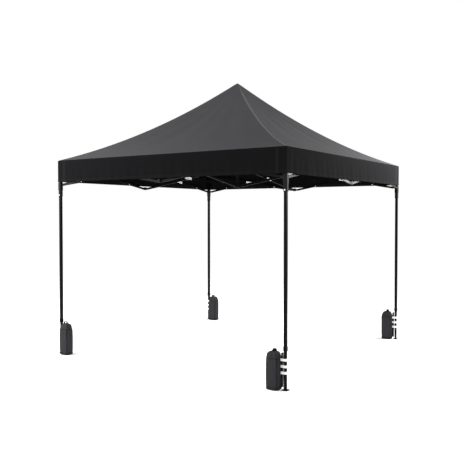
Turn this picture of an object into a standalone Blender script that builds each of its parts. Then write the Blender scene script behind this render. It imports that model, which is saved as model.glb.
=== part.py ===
"""Square pop-up gazebo, 3 m a side: scissor truss, four telescopic legs, sagging four-sided cover and weight bags.

Metres, +Z up, with the ground at z = 0 and the middle of the gazebo at x = y = 0.
The sides are fl (-Y), fr (+X), br (+Y) and bl (-X). The corners are front (+X -Y), left (-X -Y), right (+X +Y)
and back (-X +Y).
"""

import math

import bpy
import numpy as np
from mathutils import Vector
from mathutils.geometry import tessellate_polygon

FIT_GAP = 0.0003  # between pieces that touch

# Plan of the frame
HALF_SPAN = 1.46  # middle line to a leg's centre, which is also the distance between truss nodes
TOP_Z = 2.17  # height of the upper pivots
LOW_Z = 1.93  # height of the lower pivots
PIVOT_OUT = 0.045  # from the centre of a node to its pivots

# Truss bars: two layers, one on each side of the middle plane of a pair
BAR_HALF_HEIGHT = 0.0125
BAR_THICKNESS = 0.011
LAYER = 0.007  # middle plane of a pair to the middle of a bar
PIN_RADIUS = 0.004
HOLE_RADIUS = 0.00445
SPACER_RADIUS = 0.008
HEAD_RADIUS = 0.007
HEAD_HEIGHT = 0.002
ROUND_SIDES = 12
SHARP_ANGLE = math.radians(40)  # edges that turn less than this are shaded smooth

# Forks that hold the bar ends
FORK_CLEARANCE = 0.0005
CHEEK = 0.003
FORK_HALF_HEIGHT = 0.011

# Hubs and mid-side brackets
HUB_HALF = 0.022
HUB_BELOW = 0.017  # block below and above its pivot height
HUB_ABOVE = 0.019
GUIDE_RADIUS = 0.015  # sleeve that guides the mast under the upper hub
GUIDE_END_Z = 1.975
MAST_RADIUS = 0.011
MAST_WALL = 0.0012
MAST_BORE = 0.01165
MAST_FOOT_Z = 1.919

# Corner brackets, legs and sliders
CORNER_HALF = 0.0168
CORNER_BOTTOM_Z = 2.13
PLUG_HALF = 0.0133
PLUG_LENGTH = 0.045
OUTER_HALF = 0.015
OUTER_WALL = 0.0012
OUTER_BOTTOM_Z = 0.355
COLLAR_HALF = 0.0178
COLLAR_HEIGHT = 0.04
INNER_HALF = 0.0125
INNER_WALL = 0.0012
INNER_TOP_Z = 0.95
FOOT_HALF = 0.03
FOOT_THICKNESS = 0.005
SLIDER_HALF = 0.021
SLIDER_NECK = 0.0188
SLIDER_BORE = 0.0154
SLIDER_TOP_Z = 1.955
SLIDER_STEP_Z = 1.866
SLIDER_BOTTOM_Z = 1.795
BUTTON_RADIUS = 0.006
BUTTON_Z = 1.81
LEG_CORNER = 0.004

# Cover
COVER_HALF = 1.48
EAVE_Z = 2.20
PEAK_RISE = 0.966
ROOF_SAG = 0.42  # the sheet hangs this times r (1 - r) below the straight line, so 0.105 m half way
SHEET = 0.003
ROOF_RINGS = 12
VALANCE_DEPTH = 0.24
VALANCE_SHEET = 0.0025

# Weight bags, measured inward from the leg's centre along X, and across it along Y
BAG_NEAR = 0.040
BAG_FAR = 0.170
BAG_ACROSS = -0.027  # the bags hang a little to the -Y side of the legs
BAG_HALF_WIDTH = 0.0525
BAG_SECTIONS = ((0.006, 0.90), (0.028, 1.0), (0.290, 1.0), (0.330, 0.84), (0.353, 0.52))
HANDLE_HALF = (0.010, 0.0225)
HANDLE_TOP_Z = 0.385
STRAP_HEIGHTS = (0.158, 0.216, 0.276)
STRAP_HEIGHT = 0.025
STRAP_THICKNESS = 0.0022
STRAP_REACH = 0.055  # the straps run from the bag round the leg and back
WEBBING_HALF = 0.009
WEBBING_NEAR = 0.0245  # clear of the outer leg when the leg is 60 mm shorter
WEBBING_Z = (0.030, 0.345)

SIDES = {"fl": (0, -1), "fr": (1, 0), "br": (0, 1), "bl": (-1, 0)}
CORNERS = {"front": (1, -1), "left": (-1, -1), "right": (1, 1), "back": (-1, 1)}
# The two corners at the ends of each side
SIDE_ENDS = {"fl": ("front", "left"), "fr": ("front", "right"), "br": ("right", "back"), "bl": ("left", "back")}

UP = np.array([0.0, 0.0, 1.0])


def clear_scene():
    for obj in list(bpy.data.objects):
        bpy.data.objects.remove(obj, do_unlink=True)


def make_material(name, colour, roughness, metallic=0.0):
    material = bpy.data.materials.new(name)
    material.use_nodes = True
    shader = material.node_tree.nodes["Principled BSDF"]
    shader.inputs["Base Color"].default_value = (*colour, 1.0)
    shader.inputs["Roughness"].default_value = roughness
    shader.inputs["Metallic"].default_value = metallic
    return material


def mesh_from(name, points, faces):
    mesh = bpy.data.meshes.new(name)
    mesh.from_pydata([tuple(point) for point in points], [], [tuple(face) for face in faces])
    mesh.validate()
    mesh.update()
    return mesh


def outward(points, faces):
    """The same faces, turned round if they face inwards."""
    volume = 0.0
    for face in faces:
        a = points[face[0]]
        for b, c in zip(face[1:], face[2:]):
            volume += np.dot(a, np.cross(points[b], points[c]))
    return faces if volume > 0 else [tuple(face)[::-1] for face in faces]


def add_node(name, solid, origin, colour, roughness=0.6, metallic=0.0):
    """One named object with its own material, its origin at the given point."""
    points, faces = solid
    faces = outward(points, faces)
    origin = np.asarray(origin, float)
    mesh = mesh_from(name, np.asarray(points, float) - origin, faces)
    mesh.shade_smooth()
    mesh.set_sharp_from_angle(angle=SHARP_ANGLE)
    mesh.materials.append(make_material(name, colour, roughness, metallic))
    obj = bpy.data.objects.new(name, mesh)
    obj.location = origin
    bpy.context.collection.objects.link(obj)
    return obj


def loft(loops, poles=(None, None), ring=False):
    """A closed skin through loops of equal length. Its ends are flat, or drawn to the given pole points.

    A ring joins the last loop back to the first, as in a tube.
    """
    count = len(loops[0])
    points = [point for loop in loops for point in loop]
    faces = []
    pairs = list(zip(range(len(loops)), range(1, len(loops))))
    if ring:
        pairs.append((len(loops) - 1, 0))
    for low, high in pairs:
        for i in range(count):
            j = (i + 1) % count
            faces.append((low * count + i, low * count + j, high * count + j, high * count + i))
    if ring:
        return np.array(points), faces
    first = list(range(count))[::-1]
    last = [(len(loops) - 1) * count + i for i in range(count)]
    for cap, pole in ((first, poles[0]), (last, poles[1])):
        if pole is None:
            faces.append(tuple(cap))
            continue
        points.append(pole)
        for i in range(count):
            faces.append((cap[i], cap[(i + 1) % count], len(points) - 1))
    return np.array(points), faces


def circle(radius, sides=ROUND_SIDES, start=0.5):
    angles = 2 * np.pi * (np.arange(sides) + start) / sides
    return np.column_stack([radius * np.cos(angles), radius * np.sin(angles)])


def rounded_rectangle(half_x, half_y, radius, steps=2):
    """Outline anticlockwise from the +X side, with steps + 1 points at each corner."""
    outline = []
    for corner, (sx, sy) in enumerate(((1, 1), (-1, 1), (-1, -1), (1, -1))):
        for k in range(steps + 1):
            angle = math.pi / 2 * (corner + k / steps)
            x = sx * (half_x - radius) + radius * math.cos(angle)
            y = sy * (half_y - radius) + radius * math.sin(angle)
            outline.append((x, y))
    return np.array(outline)


def level(outline, z, centre=(0.0, 0.0)):
    """The outline as a loop at height z."""
    return np.column_stack([outline + np.asarray(centre), np.full(len(outline), z)])


def box(low, high):
    outline = np.array([(high[0], low[1]), (high[0], high[1]), (low[0], high[1]), (low[0], low[1])])
    return loft([level(outline, low[2]), level(outline, high[2])])


def placed(solid, along, across, origin):
    """A solid drawn with X along one direction, Y across it and Z up, moved into the world."""
    points, faces = solid
    points = np.asarray(points, float)
    along = np.asarray(along, float)
    across = np.asarray(across, float)
    moved = np.outer(points[:, 0], along) + np.outer(points[:, 1], across) + np.outer(points[:, 2], UP)
    moved = moved + np.asarray(origin, float)
    return moved, outward(moved, faces)


def plate(outline, thickness, holes=(), bosses=()):
    """A flat plate in the X Z plane, from y = 0 to y = thickness, with round holes through it.

    A boss stands up from the face at y = 0 towards -Y and is a list of (radius, reach) steps.
    """
    outline = np.asarray(outline, float)
    loops = [outline] + [circle(radius) + centre for centre, radius in holes]
    feet = [circle(steps[0][0]) + centre for centre, steps in bosses]
    points = []
    faces = []

    def add(flat, y):
        first = len(points)
        points.extend((x, y, z) for x, z in flat)
        return list(range(first, first + len(flat)))

    front = [add(loop, 0.0) for loop in loops + feet]
    back = [add(loop, thickness) for loop in loops]
    for indices, facing in ((front, -1), (back, 1)):
        flat = [index for ring in indices for index in ring]
        rings = [[Vector((points[index][0], points[index][2], 0.0)) for index in ring] for ring in indices]
        for triangle in tessellate_polygon(rings):
            corners = [flat[k] for k in triangle]
            a, b, c = (np.array((points[k][0], points[k][2])) for k in corners)
            turn = (b[0] - a[0]) * (c[1] - a[1]) - (b[1] - a[1]) * (c[0] - a[0])
            if turn * facing > 0:
                corners = corners[::-1]
            faces.append(tuple(corners))
    for number, (low, high) in enumerate(zip(front[: len(loops)], back)):
        for i in range(len(low)):
            j = (i + 1) % len(low)
            wall = (low[i], high[i], high[j], low[j])
            faces.append(wall if number == 0 else wall[::-1])
    for (centre, steps), foot in zip(bosses, front[len(loops) :]):
        rings = [foot]
        reach = 0.0
        for k, (radius, to) in enumerate(steps):
            if k > 0:
                rings.append(add(circle(radius) + centre, -reach))
            rings.append(add(circle(radius) + centre, -to))
            reach = to
        for low, high in zip(rings, rings[1:]):
            for i in range(len(low)):
                j = (i + 1) % len(low)
                faces.append((low[i], low[j], high[j], high[i]))
        faces.append(tuple(rings[-1]))
    return np.array(points), faces


def combined(solids, cutters=()):
    """One closed body from overlapping solids, less the cutters."""
    objects = []
    for number, (points, faces) in enumerate([*solids, *cutters]):
        faces = outward(points, faces)
        obj = bpy.data.objects.new("piece", mesh_from("piece", points, faces))
        bpy.context.collection.objects.link(obj)
        objects.append(obj)
        if number == 0:
            continue
        modifier = objects[0].modifiers.new("join", "BOOLEAN")
        modifier.operation = "UNION" if number < len(solids) else "DIFFERENCE"
        modifier.solver = "EXACT"
        modifier.object = obj
    graph = bpy.context.evaluated_depsgraph_get()
    graph.update()
    mesh = bpy.data.meshes.new_from_object(objects[0].evaluated_get(graph))
    points = np.array([vertex.co[:] for vertex in mesh.vertices])
    faces = [tuple(polygon.vertices) for polygon in mesh.polygons]
    bpy.data.meshes.remove(mesh)
    for obj in objects:
        bpy.data.objects.remove(obj, do_unlink=True)
    return points, faces


def pin(steps):
    """A round pin across a fork, through (radius, place across) steps."""
    rings = []
    for radius, y in steps:
        ring = circle(radius)
        rings.append(np.column_stack([ring[:, 0] + PIVOT_OUT, np.full(len(ring), y), ring[:, 1]]))
    return loft(rings[::-1])


def fork(along, across, centre, pivot_z, pinned=True):
    """Two cheeks and the pin between them, for a bar one layer to the across side of the middle plane.

    Without the pin, the cheeks have holes for a loose rivet.
    """
    inner = LAYER - BAR_THICKNESS / 2 - FORK_CLEARANCE
    outer = LAYER + BAR_THICKNESS / 2 + FORK_CLEARANCE
    start = 0.012
    end = PIVOT_OUT + 0.004
    nose = FORK_HALF_HEIGHT * 0.55
    outline = [
        (start, -FORK_HALF_HEIGHT),
        (end, -FORK_HALF_HEIGHT),
        (end + nose, -nose),
        (end + nose, nose),
        (end, FORK_HALF_HEIGHT),
        (start, FORK_HALF_HEIGHT),
    ]
    cheeks = []
    holes = [] if pinned else [((PIVOT_OUT, 0.0), HOLE_RADIUS)]
    for y in (inner - CHEEK, outer):
        points, faces = plate(outline, CHEEK, holes)
        cheeks.append((points + np.array([0.0, y, 0.0]), faces))
    if pinned:
        cheeks.append(pin([(PIN_RADIUS, inner - CHEEK / 2), (PIN_RADIUS, outer + CHEEK / 2)]))
    origin = (centre[0], centre[1], pivot_z)
    return [placed(cheek, along, across, origin) for cheek in cheeks]


def truss_bar(start, end, across, riveted):
    """A flat bar between two pivots, one layer to the across side. A riveted bar carries the crossing's rivet."""
    start = np.asarray(start, float)
    end = np.asarray(end, float)
    length = float(np.linalg.norm(end - start))
    along = (end - start) / length
    ends = []
    for k in range(7):
        angle = -math.pi / 2 + math.pi * k / 6
        ends.append((length + BAR_HALF_HEIGHT * math.cos(angle), BAR_HALF_HEIGHT * math.sin(angle)))
    for k in range(7):
        angle = math.pi / 2 + math.pi * k / 6
        ends.append((BAR_HALF_HEIGHT * math.cos(angle), BAR_HALF_HEIGHT * math.sin(angle)))
    holes = [((0.0, 0.0), HOLE_RADIUS), ((length, 0.0), HOLE_RADIUS)]
    bosses = []
    gap = 2 * LAYER - BAR_THICKNESS
    if riveted:
        through = gap + BAR_THICKNESS + FORK_CLEARANCE
        steps = [(SPACER_RADIUS, gap - FIT_GAP), (PIN_RADIUS, through), (HEAD_RADIUS, through + HEAD_HEIGHT)]
        bosses.append(((length / 2, 0.0), steps))
    else:
        holes.append(((length / 2, 0.0), HOLE_RADIUS))
    points, faces = plate(ends, BAR_THICKNESS, holes, bosses)
    points[:, 1] += LAYER - BAR_THICKNESS / 2
    across = np.asarray(across, float)
    upright = np.cross(along, across)
    moved = np.outer(points[:, 0], along) + np.outer(points[:, 1], across) + np.outer(points[:, 2], upright)
    return moved + start, faces


def hub_block(centre, pivot_z):
    outline = rounded_rectangle(HUB_HALF, HUB_HALF, 0.006, 1)
    return loft([level(outline, pivot_z - HUB_BELOW, centre), level(outline, pivot_z + HUB_ABOVE, centre)])


def centre_hubs():
    steel = (0.02, 0.02, 0.022)
    nylon = (0.03, 0.03, 0.032)
    bore = circle(MAST_BORE, 16)
    guide = circle(GUIDE_RADIUS, 16)
    top = [hub_block((0.0, 0.0), TOP_Z), loft([level(guide, GUIDE_END_Z), level(guide, TOP_Z)])]
    low = [hub_block((0.0, 0.0), LOW_Z)]
    for direction in SIDES.values():
        along = np.array([*direction, 0.0])
        left = np.cross(UP, along)
        top += fork(along, -left, (0.0, 0.0), TOP_Z)
        low += fork(along, left, (0.0, 0.0), LOW_Z)
    passage = loft([level(bore, 1.5), level(bore, 2.5)])
    socket = loft([level(bore, MAST_FOOT_Z - FIT_GAP), level(bore, 2.5)])
    add_node("top_hub", combined(top, [passage]), (0, 0, TOP_Z), nylon)
    add_node("lower_hub", combined(low, [socket]), (0, 0, LOW_Z), nylon)

    tube = circle(MAST_RADIUS, 16)
    hollow = circle(MAST_RADIUS - MAST_WALL, 16)
    # The mast ends in a domed plug no wider than its tube, because it slides down through the upper hub as the
    # frame folds. The plug's sides fall away more steeply than the roof above them.
    tip_z = EAVE_Z + PEAK_RISE - SHEET - FIT_GAP
    slope = (PEAK_RISE + ROOF_SAG) / COVER_HALF
    dome = [level(circle(radius, 16), tip_z - slope * radius) for radius in (MAST_RADIUS, 0.007, 0.003)]
    loops = [
        level(hollow, dome[0][0, 2] - 0.02),
        level(hollow, MAST_FOOT_Z),
        level(tube, MAST_FOOT_Z),
        *dome,
    ]
    add_node("mast", loft(loops), (0, 0, LOW_Z), steel, 0.4, 0.6)


def mid_brackets(side, direction):
    nylon = (0.03, 0.03, 0.032)
    out = np.array([*direction, 0.0])
    inward = -out
    left = np.cross(UP, out)
    centre = out[:2] * HALF_SPAN
    outline = rounded_rectangle(CORNER_HALF, CORNER_HALF, 0.004, 1)

    def block(pivot_z):
        return loft([level(outline, pivot_z - HUB_BELOW, centre), level(outline, pivot_z + HUB_ABOVE, centre)])

    upper = [block(TOP_Z), *fork(inward, left, centre, TOP_Z)]
    lower = [block(LOW_Z), *fork(inward, -left, centre, LOW_Z)]
    for way, turn in ((left, 1), (-left, -1)):
        upper += fork(way, turn * out, centre, TOP_Z)
        lower += fork(way, -turn * out, centre, LOW_Z)
    add_node(f"mid_top_{side}", combined(upper), (*(inward[:2] * PIVOT_OUT + centre), TOP_Z), nylon)
    add_node(f"mid_low_{side}", combined(lower), (*(inward[:2] * PIVOT_OUT + centre), LOW_Z), nylon)


def inner_bars(side, direction):
    steel = (0.025, 0.025, 0.027)
    out = np.array([*direction, 0.0])
    left = np.cross(UP, out)
    near = out * PIVOT_OUT
    far = out * (HALF_SPAN - PIVOT_OUT)
    top_in = near + UP * TOP_Z
    low_out = far + UP * LOW_Z
    low_in = near + UP * LOW_Z
    top_out = far + UP * TOP_Z
    crossing = (near + far) / 2 + UP * (TOP_Z + LOW_Z) / 2
    add_node(f"inner_bar_down_{side}", truss_bar(top_in, low_out, -left, True), top_in, steel, 0.45, 0.5)
    add_node(f"inner_bar_up_{side}", truss_bar(low_in, top_out, left, False), crossing, steel, 0.45, 0.5)


def side_bars(side, direction):
    """From each mid-side bracket to the two corners: one bar down to the slider, one up to the corner bracket.

    To the left of the bracket, seen from the middle, the bar that goes down is the outer one, and to the right it
    is the inner one, so the frame looks the same after each quarter turn.
    """
    steel = (0.025, 0.025, 0.027)
    out = np.array([*direction, 0.0])
    left = np.cross(UP, out)
    middle = out * HALF_SPAN
    for corner in SIDE_ENDS[side]:
        way = np.array([*CORNERS[corner], 0.0]) - out
        near = middle + way * PIVOT_OUT
        far = middle + way * (HALF_SPAN - PIVOT_OUT)
        crossing = (near + far) / 2 + UP * (TOP_Z + LOW_Z) / 2
        turn = np.dot(way, left)
        down = truss_bar(near + UP * TOP_Z, far + UP * LOW_Z, turn * out, True)
        rise = truss_bar(near + UP * LOW_Z, far + UP * TOP_Z, -turn * out, False)
        add_node(f"side_bar_down_{side}_{corner}", down, near + UP * TOP_Z, steel, 0.45, 0.5)
        add_node(f"side_bar_up_{side}_{corner}", rise, crossing, steel, 0.45, 0.5)


def leg(corner, signs):
    steel = (0.012, 0.012, 0.013)
    nylon = (0.03, 0.03, 0.032)
    sx, sy = signs
    centre = np.array([sx, sy]) * HALF_SPAN
    corner_x = np.array([sx, 0.0, 0.0])
    corner_y = np.array([0.0, sy, 0.0])

    head = rounded_rectangle(CORNER_HALF, CORNER_HALF, 0.004, 1)
    plug = rounded_rectangle(PLUG_HALF, PLUG_HALF, 0.002, 1)
    top_z = EAVE_Z - SHEET - FIT_GAP
    bracket = [
        loft([level(head, CORNER_BOTTOM_Z, centre), level(head, top_z, centre)]),
        loft([level(plug, CORNER_BOTTOM_Z - PLUG_LENGTH, centre), level(plug, CORNER_BOTTOM_Z + 0.01, centre)]),
    ]
    neck = rounded_rectangle(SLIDER_NECK, SLIDER_NECK, 0.005, 1)
    body = rounded_rectangle(SLIDER_HALF, SLIDER_HALF, 0.005, 1)
    slider = [
        loft([level(body, SLIDER_STEP_Z, centre), level(body, SLIDER_TOP_Z, centre)]),
        loft([level(neck, SLIDER_BOTTOM_Z, centre), level(neck, SLIDER_STEP_Z + 0.02, centre)]),
    ]
    turn = sx * sy
    bracket += fork(-corner_x, turn * corner_y, centre, TOP_Z)
    bracket += fork(-corner_y, -turn * corner_x, centre, TOP_Z, pinned=False)
    slider += fork(-corner_x, -turn * corner_y, centre, LOW_Z)
    slider += fork(-corner_y, turn * corner_x, centre, LOW_Z)
    knob = circle(BUTTON_RADIUS)
    knob_out = np.array([0.0, sy])
    start = centre + knob_out * (SLIDER_NECK - 0.002)
    end = centre + knob_out * (SLIDER_NECK + 0.004)
    rings = [np.column_stack([knob[:, 0] + x, np.full(len(knob), y), knob[:, 1] + BUTTON_Z]) for x, y in (start, end)]
    slider.append(loft(rings if sy < 0 else rings[::-1]))
    bore = rounded_rectangle(SLIDER_BORE, SLIDER_BORE, LEG_CORNER)
    passage = loft([level(bore, 1.6, centre), level(bore, 2.1, centre)])
    inner = LAYER - BAR_THICKNESS / 2 - FORK_CLEARANCE - CHEEK - FIT_GAP
    outer = LAYER + BAR_THICKNESS / 2 + FORK_CLEARANCE + CHEEK
    steps = [(HEAD_RADIUS, inner - HEAD_HEIGHT), (HEAD_RADIUS, inner), (PIN_RADIUS, inner), (PIN_RADIUS, outer)]
    rivet = placed(pin(steps), -corner_y, -turn * corner_x, (*centre, TOP_Z))
    rivet_at = centre - np.array([0.0, sy * PIVOT_OUT])
    add_node(f"corner_rivet_{corner}", rivet, (*rivet_at, TOP_Z), (0.3, 0.3, 0.31), 0.35, 1.0)
    pivot = centre - np.array([sx * PIVOT_OUT, 0.0])
    add_node(f"corner_bracket_{corner}", combined(bracket), (*pivot, TOP_Z), nylon)
    add_node(f"slider_{corner}", combined(slider, [passage]), (*pivot, LOW_Z), nylon)

    outside = rounded_rectangle(OUTER_HALF, OUTER_HALF, LEG_CORNER)
    inside = rounded_rectangle(OUTER_HALF - OUTER_WALL, OUTER_HALF - OUTER_WALL, LEG_CORNER - OUTER_WALL)
    collar = rounded_rectangle(COLLAR_HALF, COLLAR_HALF, LEG_CORNER + 0.002)
    bush = rounded_rectangle(INNER_HALF + FIT_GAP, INNER_HALF + FIT_GAP, LEG_CORNER - 0.001)
    tube = [
        level(inside, CORNER_BOTTOM_Z - FIT_GAP, centre),
        level(inside, OUTER_BOTTOM_Z + COLLAR_HEIGHT, centre),
        level(bush, OUTER_BOTTOM_Z + COLLAR_HEIGHT, centre),
        level(bush, OUTER_BOTTOM_Z, centre),
        level(collar, OUTER_BOTTOM_Z, centre),
        level(collar, OUTER_BOTTOM_Z + COLLAR_HEIGHT, centre),
        level(outside, OUTER_BOTTOM_Z + COLLAR_HEIGHT + 0.003, centre),
        level(outside, CORNER_BOTTOM_Z - FIT_GAP, centre),
    ]
    add_node(f"outer_leg_{corner}", loft(tube, ring=True), (*pivot, TOP_Z), steel, 0.4, 0.3)

    outside = rounded_rectangle(INNER_HALF, INNER_HALF, LEG_CORNER - 0.001)
    inside = rounded_rectangle(INNER_HALF - INNER_WALL, INNER_HALF - INNER_WALL, LEG_CORNER - 0.0022)
    foot = rounded_rectangle(FOOT_HALF, FOOT_HALF, 0.004)
    tube = [
        level(foot, 0.0, centre),
        level(foot, FOOT_THICKNESS, centre),
        level(outside, FOOT_THICKNESS, centre),
        level(outside, INNER_TOP_Z, centre),
        level(inside, INNER_TOP_Z, centre),
        level(inside, FOOT_THICKNESS + 0.001, centre),
    ]
    add_node(f"inner_leg_{corner}", loft(tube), (*centre, 0.0), steel, 0.4, 0.3)


def weight_bag(corner, signs):
    """A filled bag beside the leg, with three straps round the leg and a webbing strip that holds them together."""
    sx, sy = signs
    centre = np.array([sx, sy]) * HALF_SPAN
    middle = np.array([(BAG_NEAR + BAG_FAR) / 2, BAG_ACROSS])
    half_x = (BAG_FAR - BAG_NEAR) / 2
    sections = []
    for z, share in BAG_SECTIONS:
        outline = rounded_rectangle(half_x * share, BAG_HALF_WIDTH * share, 0.026 * share, 3)
        sections.append(level(outline, z, middle))
    handle_x, handle_y = HANDLE_HALF
    solids = [
        loft(sections),
        box(
            (middle[0] - handle_x, middle[1] - handle_y, 0.34),
            (middle[0] + handle_x, middle[1] + handle_y, HANDLE_TOP_Z),
        ),
        box((WEBBING_NEAR, -WEBBING_HALF, WEBBING_Z[0]), (BAG_NEAR + 0.010, WEBBING_HALF, WEBBING_Z[1])),
    ]
    inside = INNER_HALF + FIT_GAP
    outside = inside + STRAP_THICKNESS
    for z in STRAP_HEIGHTS:
        middle_x = (STRAP_REACH - inside) / 2
        outer = rounded_rectangle(middle_x + outside, outside, 0.004)
        inner = rounded_rectangle(middle_x + inside, inside, 0.003)
        low = z - STRAP_HEIGHT / 2
        high = z + STRAP_HEIGHT / 2
        ring = ((inner, high), (inner, low), (outer, low), (outer, high))
        loops = [level(outline, at, (middle_x, 0.0)) for outline, at in ring]
        solids.append(loft(loops, ring=True))
    points, faces = combined(solids)
    solid = placed((points, faces), (-sx, 0, 0), (0, 1, 0), (*centre, 0.0))
    add_node(f"weight_bag_{corner}", solid, (*centre, 0.0), (0.04, 0.04, 0.043), 0.85)


def roof_height(r):
    """Height of the sheet's upper side, where r runs from 0 at the peak to 1 at the eave."""
    return EAVE_Z + PEAK_RISE * (1 - r) - ROOF_SAG * r * (1 - r)


def cover():
    """The roof and its four valances, one sheet: up the inside to the peak, and down the outside."""
    black = (0.03, 0.03, 0.031)
    square = np.array([(1.0, -1.0), (1.0, 1.0), (-1.0, 1.0), (-1.0, -1.0)])
    shares = [k / ROOF_RINGS for k in range(1, ROOF_RINGS)]
    inner = COVER_HALF - VALANCE_SHEET
    bottom = EAVE_Z - VALANCE_DEPTH
    under = [level(square * COVER_HALF * r, roof_height(r) - SHEET) for r in shares]
    upper = [level(square * COVER_HALF * r, roof_height(r)) for r in shares]
    skirt = [
        level(square * inner, EAVE_Z - SHEET),
        level(square * inner, bottom),
        level(square * COVER_HALF, bottom),
        level(square * COVER_HALF, EAVE_Z),
    ]
    peak = np.array([0.0, 0.0, roof_height(0.0)])
    sheet = loft(under + skirt + upper[::-1], poles=(peak - UP * SHEET, peak))
    add_node("canopy", sheet, (0, 0, EAVE_Z), black, 0.9)


clear_scene()
cover()
centre_hubs()
for side_name, side_way in SIDES.items():
    mid_brackets(side_name, side_way)
    inner_bars(side_name, side_way)
    side_bars(side_name, side_way)
for corner_name, corner_signs in CORNERS.items():
    leg(corner_name, corner_signs)
    weight_bag(corner_name, corner_signs)
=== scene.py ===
import math

import bmesh
import bpy
import numpy as np
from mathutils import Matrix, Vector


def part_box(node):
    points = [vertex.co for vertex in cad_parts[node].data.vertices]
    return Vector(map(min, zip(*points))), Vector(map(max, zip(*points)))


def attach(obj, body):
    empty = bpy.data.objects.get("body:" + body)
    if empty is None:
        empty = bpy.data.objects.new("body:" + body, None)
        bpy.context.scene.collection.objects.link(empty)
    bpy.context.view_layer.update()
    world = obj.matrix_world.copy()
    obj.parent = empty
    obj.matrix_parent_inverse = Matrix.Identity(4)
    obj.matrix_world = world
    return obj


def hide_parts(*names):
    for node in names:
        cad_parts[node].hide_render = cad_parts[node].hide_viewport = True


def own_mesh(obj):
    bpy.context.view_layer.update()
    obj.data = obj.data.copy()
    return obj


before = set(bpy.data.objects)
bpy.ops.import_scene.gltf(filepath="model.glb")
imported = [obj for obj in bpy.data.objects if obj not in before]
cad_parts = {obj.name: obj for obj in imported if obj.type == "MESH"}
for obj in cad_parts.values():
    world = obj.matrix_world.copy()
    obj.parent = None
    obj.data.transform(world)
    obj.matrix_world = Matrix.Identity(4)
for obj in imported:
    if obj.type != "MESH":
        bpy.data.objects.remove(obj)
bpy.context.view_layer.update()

# Roof cover: black polyester sewn from four panels that meet in lapped hip seams and sag between the eave and
# the peak. It is cut here into strips that lie edge to edge as one sheet while the gazebo stands, because the
# real one gathers along the truss bars, between its fixings at the nodes, when the frame is folded.
COVER_HALF = 1.48
EAVE_Z = 2.20
PEAK_RISE = 0.966
ROOF_SAG = 0.42
PANEL_HANG = 0.022  # how much lower a panel hangs halfway between its hips
FOLD_START = 1.4708  # where the roof begins to turn over the eave
LID_HALF = 0.19  # how far the piece at the peak reaches
CROSSING = 0.74  # where the bars of a pair cross, along the side
CLOTH = 0.0012
HIP_LAP = (0.011, 0.014)  # the lap's edge falls off between these distances from the hip
GRID = 0.022  # the cloth's points lie this far apart
STRIP_COLUMNS = 33
UP = np.array([0.0, 0.0, 1.0])
SIDES = {"fl": (0, -1), "fr": (1, 0), "br": (0, 1), "bl": (-1, 0)}
CORNERS = {"front": (1, -1), "left": (-1, -1), "right": (1, 1), "back": (-1, 1)}
SIDE_ENDS = {"fl": ("front", "left"), "fr": ("front", "right"), "br": ("right", "back"), "bl": ("left", "back")}


def smooth(x, low, high):
    """0 below low, 1 above high, and 3 s^2 - 2 s^3 between them, where s is the share of the way."""
    s = np.clip((x - low) / (high - low), 0.0, 1.0)
    return s * s * (3.0 - 2.0 * s)


def roof_z(out_from_middle, along, side):
    """Height of the cloth. The peak's rise times (1 - r), less the sag times r (1 - r), where r runs from the peak
    to the eave. Between two hips the panel hangs a little lower, as (1 - share^2), and has faint pulls that
    fan out from the peak as a sine of the share. A lapped seam, one cloth high, follows each hip."""
    r = out_from_middle / COVER_HALF
    share = along / np.maximum(out_from_middle, 1e-6)
    z = EAVE_Z + PEAK_RISE * (1 - r) - ROOF_SAG * r * (1 - r)
    panel = np.sin(math.pi * np.clip(r, 0, 1)) ** 2
    z = z - PANEL_HANG * panel * (1 - share**2)
    turn = {"fl": 0.4, "fr": 1.9, "br": 3.1, "bl": 4.6}[side]
    z = z + 0.0022 * panel * (1 - share**4) * np.sin(9.0 * share + turn) * smooth(r, 0.2, 0.7)
    z = z + 0.0015 * panel * (1 - share**4) * np.sin(17.0 * share + 2.3 * turn + 3.0 * r)
    from_hip = out_from_middle - np.abs(along)
    return z + CLOTH * (1 - smooth(from_hip, *HIP_LAP)) * smooth(r, 0.0, 0.03)


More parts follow.
